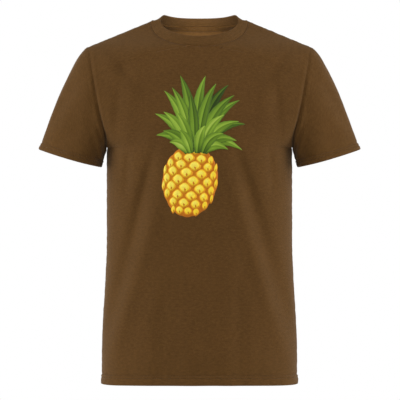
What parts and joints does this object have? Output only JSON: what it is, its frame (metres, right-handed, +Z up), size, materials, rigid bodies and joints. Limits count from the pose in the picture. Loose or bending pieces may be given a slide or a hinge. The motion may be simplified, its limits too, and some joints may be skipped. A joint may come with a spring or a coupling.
{
  "type": "t-shirt",
  "caption": "Short-sleeved crew-neck cotton T-shirt in its worn shape, plain brown, with a pineapple printed on the chest.",
  "frame": {"origin": "midway between the two highest points of the collar, at their height, in the plane of the side seams", "axes": "+Z up along the wearer's body, +X to the wearer's left, -Y out of the chest"},
  "size_m": [0.6234, 0.2404, 0.722],
  "materials": {
    "jersey": "matt single jersey, piece-dyed brown",
    "rib_knit": "matt fine rib, the same brown",
    "sewing_thread": "spun thread, a shade darker than the cloth",
    "print_fruit": "thin soft ink, yellow and orange",
    "print_leaves": "thin soft ink, greens"
  },
  "bodies": {
    "root": {"front_panel": "jersey", "back_panel": "jersey", "sleeve_left": "jersey", "sleeve_right": "jersey", "neck_rib": "rib_knit", "neck_tape": "jersey", "print_fruit": "print_fruit", "print_crown": "print_leaves", "neck_stitch": "sewing_thread", "neck_seam": "sewing_thread", "hem_stitch_lower": "sewing_thread", "hem_stitch_upper": "sewing_thread", "sleeve_stitch_lower_left": "sewing_thread", "sleeve_stitch_upper_left": "sewing_thread", "sleeve_stitch_lower_right": "sewing_thread", "sleeve_stitch_upper_right": "sewing_thread", "shoulder_seam_left": "sewing_thread", "shoulder_seam_right": "sewing_thread", "armhole_seam_left": "sewing_thread", "armhole_seam_right": "sewing_thread", "side_seam_left": "sewing_thread", "side_seam_right": "sewing_thread", "sleeve_seam_left": "sewing_thread", "sleeve_seam_right": "sewing_thread"}
  },
  "joints": []
}
